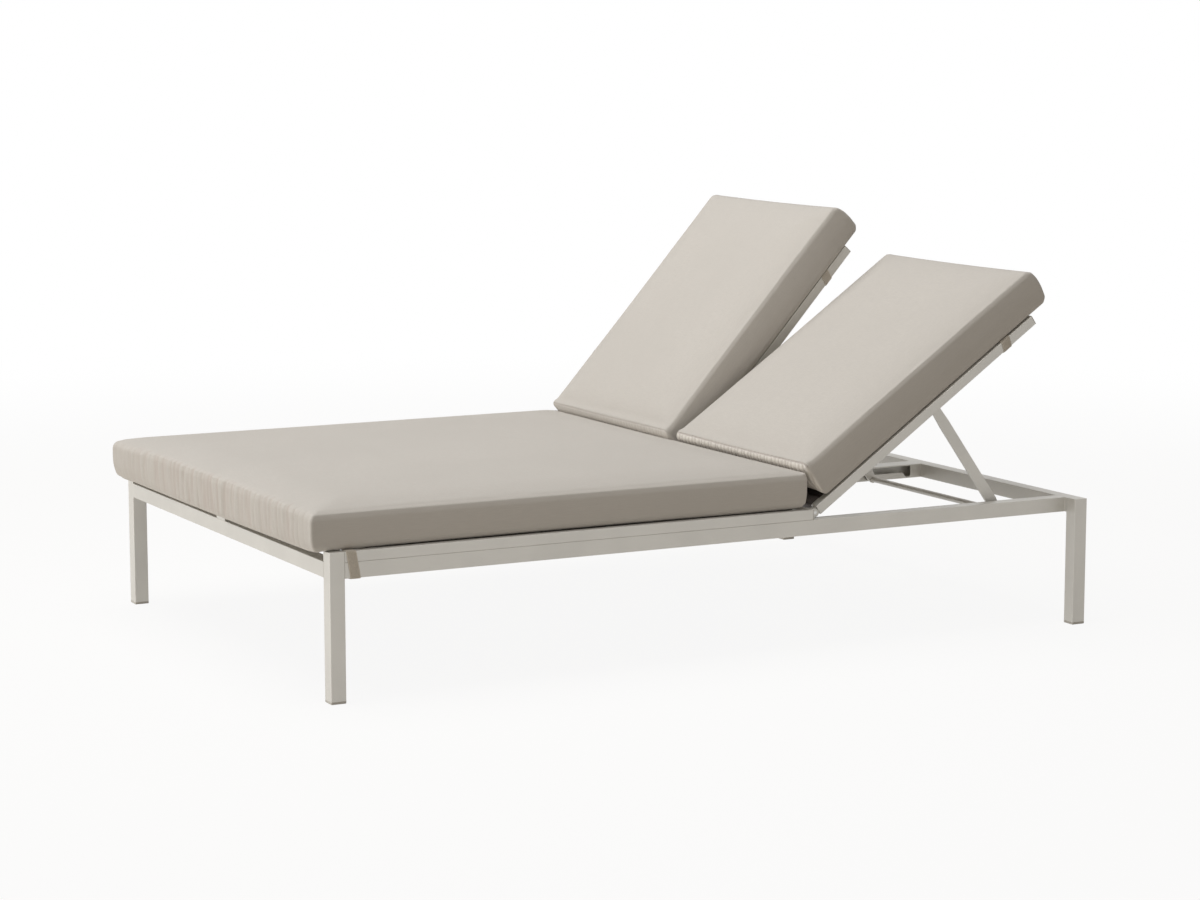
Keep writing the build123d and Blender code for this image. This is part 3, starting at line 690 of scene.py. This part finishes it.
def add_marks(mesh, low, high, pleats, edge_at):
    """Marks where the cover is pleated and how far each point is from its lower end, for the seam."""
    u, v, w = coordinates(mesh).T
    lift = (w - low[2]) / (high[2] - low[2])
    end = 1 - rise(u, edge_at - 0.002, edge_at + 0.006)
    share = np.interp(v, [low[1], high[1]], pleats)
    set_attribute(mesh, "pleated", share * end * rise(lift, 0.05, 0.2) * (1 - rise(lift, 0.92, 0.99)))
    set_attribute(mesh, "along", u - edge_at)
    set_attribute(mesh, "front_top", rise(lift, 0.8, 0.9) * max(pleats))
    if mesh.attributes.get("gathered") is None:
        set_attribute(mesh, "gathered", np.zeros(len(u)))


def make_cushion(node, lie, material, pads, reshape, coarse, pleats=(0, 0), edge_in=0):
    """A filled cushion in the place of the CAD one, with a mesh that is finest near its edges."""
    tree, low, high = cushion_form(node, lie)
    edge, fine = 0.024, 0.006
    us = steps(low[0], high[0], edge, fine, coarse[0])
    vs = steps(low[1], high[1], edge, fine, coarse[1])
    ws = steps(low[2], high[2], edge, fine, 0.01)
    places, faces = box_skin(us, vs, ws)
    piece = new_piece(f"{node}_cover", wrapped(places, tree, low, high, edge), faces, material)
    full = coordinates(piece.data)
    inward = normals(piece.data) * pads.shrink
    inward[:, 2] *= rise(full[:, 2], low[2], low[2] + 0.02)
    set_coordinates(piece.data, full - inward)
    filled(piece, low, high, pads)
    subdivided(piece)
    reshape(piece.data, low, high, pads)
    add_marks(piece.data, low, high, pleats, low[0] + edge_in)
    piece.data.transform(lie.to_frame)
    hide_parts(node)
    return piece


# Slings and straps

def ribbon_outline(line, half_thickness):
    """A closed outline round an open line of points."""
    line = np.array(line)
    along = np.gradient(line, axis=0)
    along /= np.linalg.norm(along, axis=1, keepdims=True)
    out = np.stack([-along[:, 1], along[:, 0]], 1) * half_thickness
    return np.concatenate([line + out, (line - out)[::-1]])


def swept_faces(rows, count):
    """The quads between rows of points that go round a section, and a face over each end."""
    faces = []
    for i in range(rows - 1):
        for j in range(count):
            a, b = i * count + j, i * count + (j + 1) % count
            faces.append((a, b, b + count, a + count))
    faces.append(tuple(range(count))[::-1])
    faces.append(tuple(range((rows - 1) * count, rows * count)))
    return faces


def hem_line(center_y, z, radius, toward):
    """A loop round a hem's spline, from where the cloth comes back to where it leaves for the sling."""
    points, count = [], 14
    for i in range(count + 1):
        angle = math.radians(-70 + 340 * i / count)
        points.append((center_y - toward * radius * math.sin(angle), z + radius * math.cos(angle)))
    return points


def make_sleeve(name, lie, material, edge_x, toward, y_limits, z):
    """The sling's own cloth, turned round the cross tube at one of its ends."""
    tube, gap, drop, cloth, bend = 24 * MM, 5 * MM, 4.5 * MM, 0.9 * MM, 1.6 * MM
    near = edge_x + toward * (gap - cloth)
    far = near + toward * (tube + 2 * cloth)
    top, bottom = z + drop + cloth, z + drop - tube - cloth
    inside = edge_x - toward * 4 * MM
    line = [(inside, z), (near - toward * 0.6 * MM, z), (near, z + 0.8 * MM), (near, top - bend),
            (near + toward * bend, top), (far - toward * bend, top), (far, top - bend),
            (far, bottom + bend), (far - toward * bend, bottom), (near + toward * bend, bottom),
            (near, bottom + bend), (near, z - bend), (inside, z - 1.2 * MM)]
    section = ribbon_outline(line, SLING_HALF_THICKNESS)
    from_hem = 4.6 * MM
    rows = np.linspace(y_limits[0] + from_hem, y_limits[1] - from_hem, 12)
    places = [lie.to_frame @ Vector((x, y, height)) for y in rows for x, height in section]
    sleeve = new_piece(name, places, swept_faces(len(rows), len(section)), material)
    return sleeve


def make_sling(name, node, lie, material, sag, sleeved):
    """A woven sling between two tubes: hems round its splines, a little sag, sleeves at the ends named."""
    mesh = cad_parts[node].data
    local = np.array([lie.to_local @ v.co for v in mesh.vertices])
    low, high = local.min(0), local.max(0)
    hem = (high[2] - low[2]) / 2
    z = (high[2] + low[2]) / 2
    loop_radius = hem - SLING_HALF_THICKNESS
    y_low, y_high = low[1] + hem, high[1] - hem
    past_hem = 0.006
    left = hem_line(y_low, z, loop_radius, 1)
    right = hem_line(y_high, z, loop_radius, -1)[::-1]
    inner = [(y, z + 0.2 * MM) for y in np.linspace(y_low + past_hem, y_high - past_hem, 40)]
    section = ribbon_outline(left + inner + right, SLING_HALF_THICKNESS)
    rows = np.linspace(low[0], high[0], 60)
    span = (section[:, 0] - y_low) / (y_high - y_low)
    dip = np.clip(4 * span * (1 - span), 0, 1)
    dip[(section[:, 0] < y_low + past_hem) | (section[:, 0] > y_high - past_hem)] = 0
    places = []
    for i, x in enumerate(rows):
        end = min(1.0, min(i, len(rows) - 1 - i) / 6 + 0.55)
        for (y, height), share in zip(section, dip):
            places.append(lie.to_frame @ Vector((x, y, height - sag * end * share)))
    piece = new_piece(name, places, swept_faces(len(rows), len(section)), material)
    for end, edge_x, toward in (("low", low[0], -1), ("high", high[0], 1)):
        if end in sleeved:
            sleeve = make_sleeve(f"{name}_{end}_sleeve", lie, material, edge_x, toward, (y_low, y_high), z)
            sleeve.parent = piece
    y_high - y_low + 0.02
    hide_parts(node)
    return piece


def rounded_loop(corners, radius, bulges):
    """A closed line round some corners, with round bends and runs that stand out by the given bulges."""
    arc, run = 5, 6
    corners = [Vector(c) for c in corners]
    points = []
    for i, corner in enumerate(corners):
        before, after = corners[i - 1], corners[(i + 1) % len(corners)]
        start = corner + (before - corner).normalized() * radius
        end = corner + (after - corner).normalized() * radius
        for j in range(arc + 1):
            t = j / arc
            points.append(start * (1 - t) ** 2 + corner * 2 * t * (1 - t) + end * t * t)
        far = after + (corner - after).normalized() * radius
        side = (far - end).normalized()
        outward = Vector((side.y, -side.x))
        for j in range(1, run):
            t = j / run
            points.append(end.lerp(far, t) + outward * bulges[i] * math.sin(math.pi * t))
    return points


def strap_mesh(line, center, width, lean, lie):
    """One webbing loop: a flat section with thin edges, swept round a closed line in the cross plane."""
    count = len(line)
    half, thin = width / 2, STRAP_THICKNESS / 2
    profile = [(-half, 0), (-half + 0.5 * MM, thin * 0.8), (-half + 1.5 * MM, thin), (0, thin * 1.05),
               (half - 1.5 * MM, thin), (half - 0.5 * MM, thin * 0.8), (half, 0),
               (half - 0.5 * MM, -thin * 0.8), (half - 1.5 * MM, -thin), (0, -thin),
               (-half + 1.5 * MM, -thin), (-half + 0.5 * MM, -thin * 0.8)]
    heights = [p[1] for p in line]
    top, bottom = max(heights), min(heights)
    places, across, faces = [], [], []
    ring = len(profile)
    for i, point in enumerate(line):
        side = (line[(i + 1) % count] - line[i - 1]).normalized()
        outward = Vector((side.y, -side.x))
        shift = lean * (top - point[1]) / (top - bottom)
        for x, height in profile:
            y, z = point + outward * height
            places.append(lie.to_frame @ Vector((center + x + shift, y, z)))
            across.append(x / half)
        for j in range(ring):
            a, b = i * ring + j, i * ring + (j + 1) % ring
            c, d = (i + 1) % count * ring + (j + 1) % ring, (i + 1) % count * ring + j
            faces.append((a, b, c, d))
    return places, across, faces


def join_parts(parts):
    """One list of points, marks and faces from several."""
    places, across, faces = [], [], []
    for more_places, more_across, more_faces in parts:
        start = len(places)
        places += more_places
        across += more_across
        faces += [tuple(n + start for n in face) for face in more_faces]
    return places, across, faces


def make_straps(name, node, parts, material):
    places, across, faces = join_parts(parts)
    piece = new_piece(name, places, faces, material)
    set_attribute(piece.data, "across", across)
    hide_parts(node)
    return piece


# Operators

class LOUNGER_OT_stage(bpy.types.Operator):
    """Make the floor, the lamps and the camera"""

    bl_idname = "lounger.stage"
    bl_label = "Stage"

    def execute(self, context):
        studio = context.scene.lounger_studio
        self.make_floor(studio)
        self.make_sky(studio)
        self.make_lamp("top_lamp", (-0.9, 0.3, 4.2), (0.1, 0.1, 0.3), (4.0, 3.6), studio.top_lamp,
                       (0.985, 0.99, 1.0))
        self.make_lamp("foot_lamp", (-7.5, 0.6, 0.95), (0, 0, 0.4), (4.0, 1.7), studio.foot_lamp,
                       (1.0, 0.99, 0.975))
        self.make_camera(context, studio)
        context.scene.view_settings.view_transform = "Standard"
        return {"FINISHED"}

    def make_floor(self, studio):
        paper = Finish("pale_floor")
        spot = paper.places()
        away = paper.add("ShaderNodeVectorMath", {"operation": "LENGTH"}, (spot,), output="Value")
        share = paper.seen_straight() * (0.91 + 0.09 * away.above(2.0, 6.0))
        grain = paper.noise(spot, 3.0, 2.0)
        color = paper.blend(grain, tinted(studio.floor, 0.99), tinted(studio.floor, 1.01))
        dull = paper.add("ShaderNodeBsdfDiffuse", None, {"Color": color})
        white = paper.add("ShaderNodeEmission", None, {"Color": WHITE, "Strength": 1.0})
        mixed = paper.add("ShaderNodeMixShader", None, (share, dull, white))
        paper.add("ShaderNodeOutputMaterial", None, {"Surface": mixed})
        reach, count = 60.0, 24
        angles = [2 * math.pi * i / count for i in range(count)]
        ring = [(reach * math.cos(angle), reach * math.sin(angle), 0) for angle in angles]
        floor = new_piece("floor", ring, [tuple(range(count))], paper.material, False)

    def make_sky(self, studio):
        world = bpy.data.worlds.new("studio")
        bpy.context.scene.world = world
        sky = Graph(world)
        light = sky.add("ShaderNodeBackground", None,
                        {"Color": rgba(studio.sky_color), "Strength": studio.sky})
        white = sky.add("ShaderNodeBackground", None, {"Color": WHITE, "Strength": 1.0})
        mixed = sky.add("ShaderNodeMixShader", None, (sky.seen_straight(), light, white))
        sky.add("ShaderNodeOutputWorld", None, {"Surface": mixed})

    def make_lamp(self, name, place, target, size, power, color):
        light = bpy.data.lights.new(name, "AREA")
        light.shape = "RECTANGLE"
        light.size, light.size_y = size
        light.energy = power
        light.color = color
        lamp = bpy.data.objects.new(name, light)
        lamp.location = place
        lamp.rotation_mode = "QUATERNION"
        lamp.rotation_quaternion = (Vector(target) - Vector(place)).to_track_quat("-Z", "Y")
        bpy.context.scene.collection.objects.link(lamp)

    def make_camera(self, context, studio):
        data = bpy.data.cameras.new("camera")
        data.lens = studio.lens
        data.sensor_width = 36
        data.clip_end = 200
        camera = bpy.data.objects.new("camera", data)
        camera.location = CAMERA_PLACE
        camera.rotation_mode = "QUATERNION"
        camera.rotation_quaternion = Vector(CAMERA_DIRECTION).to_track_quat("-Z", "Y")
        context.scene.collection.objects.link(camera)
        context.scene.camera = camera


class LOUNGER_OT_seat_cushion(bpy.types.Operator):
    """Fill the seat cushion and gather its foot end"""

    bl_idname = "lounger.seat_cushion"
    bl_label = "Seat cushion"

    def execute(self, context):
        pads = context.scene.lounger_cushions
        material = cushion_cloth(context.scene.lounger_colors, pads, "seat_cloth", 0.0)
        cushion = make_cushion("seat_cushion", SEAT_LIE, material, pads, shape_seat, coarse=(0.022, 0.009))
        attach(cushion, "base")
        return {"FINISHED"}


class LOUNGER_OT_back_cushions(bpy.types.Operator):
    """Fill the two back cushions and pleat their lower ends"""

    bl_idname = "lounger.back_cushions"
    bl_label = "Back cushions"

    def execute(self, context):
        colors, pads = context.scene.lounger_colors, context.scene.lounger_cushions
        # How pleated each back's lower end is, which also sets how much painted light and crease shade its
        # band gets
        pleats = {"left": (1, 1), "right": (0.5, 0.1)}
        for name in SIDES:
            lie = back_lie(name)
            material = cushion_cloth(colors, pads, f"{name}_back_cloth", BACK_ANGLES[name])
            reshape = partial(shape_back, name=name)
            edge_in = 0.006 + END_ROLL[name][-1]
            cushion = make_cushion(f"{name}_back_cushion", lie, material, pads, reshape,
                                   coarse=(0.012, 0.0105), pleats=pleats[name], edge_in=edge_in)
            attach(cushion, f"{name}_back")
            if name == "left":
                self.give_way(cushion, lie)
        return {"FINISHED"}

    def give_way(self, cushion, lie):
        """Gives the left back's cushion a mesh of its own."""
        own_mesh(cushion)


class LOUNGER_OT_slings(bpy.types.Operator):
    """Weave the slings of the seat and the backs"""

    bl_idname = "lounger.slings"
    bl_label = "Slings"

    def execute(self, context):
        colors = context.scene.lounger_colors
        seat_weave = sling_weave(colors, "seat_sling_weave", 0.0)
        sag = 0.004
        for name in SIDES:
            # The seat slings' dark sleeves round the foot cross tube also make the gap under the seat's foot
            # end dark, standing in for the shade there
            seat = make_sling(f"{name}_seat_sling_cloth", f"{name}_seat_sling", SEAT_LIE, seat_weave, sag,
                              ("low",))
            weave = sling_weave(colors, f"{name}_back_sling_weave", BACK_ANGLES[name])
            back = make_sling(f"{name}_back_sling_cloth", f"{name}_back_sling", back_lie(name), weave, sag,
                              ("low", "high"))
            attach(seat, "base")
            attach(back, f"{name}_back")
        return {"FINISHED"}


class LOUNGER_OT_straps(bpy.types.Operator):
    """Loop the webbing straps round the rails and tubes"""

    bl_idname = "lounger.straps"
    bl_label = "Straps"

    def execute(self, context):
        colors = context.scene.lounger_colors
        self.make_seat_straps(colors)
        for name in SIDES:
            self.make_back_straps(name, colors)
        return {"FINISHED"}

    def make_seat_straps(self, colors):
        """Loops round each side rail and the seat tube on it, with the tube's inner wall set further out."""
        low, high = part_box("seat_straps")
        center = (low.x + high.x) / 2
        rail_low, rail_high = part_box("right_side_rail")
        tube_low, tube_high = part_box("right_seat_tube")
        out = STRAP_GAP + STRAP_THICKNESS / 2
        inner, outer, tube_inner = rail_low.y - out, rail_high.y + out, tube_low.y - out
        bottom, rail_top, top = rail_low.z - out, rail_high.z + out, tube_high.z + out
        parts = []
        for side in SIDES.values():
            corners = [(side * inner, bottom), (side * outer, bottom), (side * outer, top),
                       (side * tube_inner, top), (side * inner, rail_top)]
            line = rounded_loop(corners[::side], 3 * MM, self.bulges(corners[::side], 1.2 * MM))
            parts.append(strap_mesh(line, center - 5 * MM, STRAP_WIDTH - 3 * MM, 11 * MM, SEAT_LIE))
        seat = make_straps("seat_strap_webbing", "seat_straps", parts,
                           webbing(colors, "seat_strap_cloth", 0.0))
        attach(seat, "base")

    def make_back_straps(self, name, colors):
        """Loops round the two side tubes of a back."""
        lie = back_lie(name)
        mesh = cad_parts[f"{name}_back_straps"].data
        local = np.array([lie.to_local @ v.co for v in mesh.vertices])
        center = (local[:, 0].min() + local[:, 0].max()) / 2
        middle = (local[:, 1].min() + local[:, 1].max()) / 2
        half = 12 * MM + STRAP_GAP + STRAP_THICKNESS / 2
        slack = 2.6 * MM if name == "left" else 0.6 * MM
        parts = []
        for group in (local[local[:, 1] < middle], local[local[:, 1] > middle]):
            y = (group[:, 1].min() + group[:, 1].max()) / 2
            corners = [(y - half, -half), (y + half, -half), (y + half, half), (y - half, half)]
            line = rounded_loop(corners, 3 * MM, self.bulges(corners, slack))
            parts.append(strap_mesh(line, center + 4 * MM, STRAP_WIDTH, -8 * MM, lie))
        straps = make_straps(f"{name}_back_strap_webbing", f"{name}_back_straps", parts,
                             webbing(colors, f"{name}_back_strap_cloth", BACK_ANGLES[name]))
        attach(straps, f"{name}_back")

    def bulges(self, corners, most):
        """The lowest run hangs a little slack and the others lie flat."""
        lowest = min(c[1] for c in corners)
        found = []
        for i, corner in enumerate(corners):
            after = corners[(i + 1) % len(corners)]
            found.append(most if corner[1] == lowest and after[1] == lowest else 0.0)
        return found


class LOUNGER_OT_finishes(bpy.types.Operator):
    """Finish the coated frame, the plastic fittings and the steel hardware"""

    bl_idname = "lounger.finishes"
    bl_label = "Frame and fittings"

    def execute(self, context):
        colors = context.scene.lounger_colors
        coat = powder_coat(colors)
        finishes = {
            "coated_frame": coat,
            "plastic_fittings": moulded_plastic(colors),
            "spline_cord": spline_cord(colors),
            "steel_hardware": brushed_steel(colors),
        }
        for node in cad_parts.values():
            slot = node.data.materials[0].name.split(".")[0]
            node.data.materials[0] = finishes.get(slot, coat)
        return {"FINISHED"}


# Panel and registration

OPERATORS = (
    LOUNGER_OT_stage,
    LOUNGER_OT_finishes,
    LOUNGER_OT_seat_cushion,
    LOUNGER_OT_back_cushions,
    LOUNGER_OT_slings,
    LOUNGER_OT_straps,
)
SETTINGS = {
    "lounger_colors": LoungerColors,
    "lounger_cushions": LoungerCushions,
    "lounger_studio": LoungerStudio,
}


class LOUNGER_PT_panel(bpy.types.Panel):
    """The lounger's pieces and settings"""

    bl_idname = "LOUNGER_PT_panel"
    bl_label = "Double chaise lounger"
    bl_space_type = "VIEW_3D"
    bl_region_type = "UI"
    bl_category = "Lounger"

    def draw(self, context):
        column = self.layout.column()
        for operator in OPERATORS:
            column.operator(operator.bl_idname)
        for name, group in SETTINGS.items():
            settings = getattr(context.scene, name)
            box = self.layout.box()
            for setting in group.__annotations__:
                box.prop(settings, setting)


CLASSES = (*SETTINGS.values(), *OPERATORS, LOUNGER_PT_panel)


def register():
    for item in CLASSES:
        bpy.utils.register_class(item)
    for name, group in SETTINGS.items():
        setattr(bpy.types.Scene, name, PointerProperty(type=group))


def unregister():
    for name in SETTINGS:
        delattr(bpy.types.Scene, name)
    for item in reversed(CLASSES):
        bpy.utils.unregister_class(item)


def main():
    register()
    bpy.ops.lounger.stage()
    bpy.ops.lounger.finishes()
    bpy.ops.lounger.seat_cushion()
    bpy.ops.lounger.back_cushions()
    bpy.ops.lounger.slings()
    bpy.ops.lounger.straps()


if __name__ == "__main__":
    main()
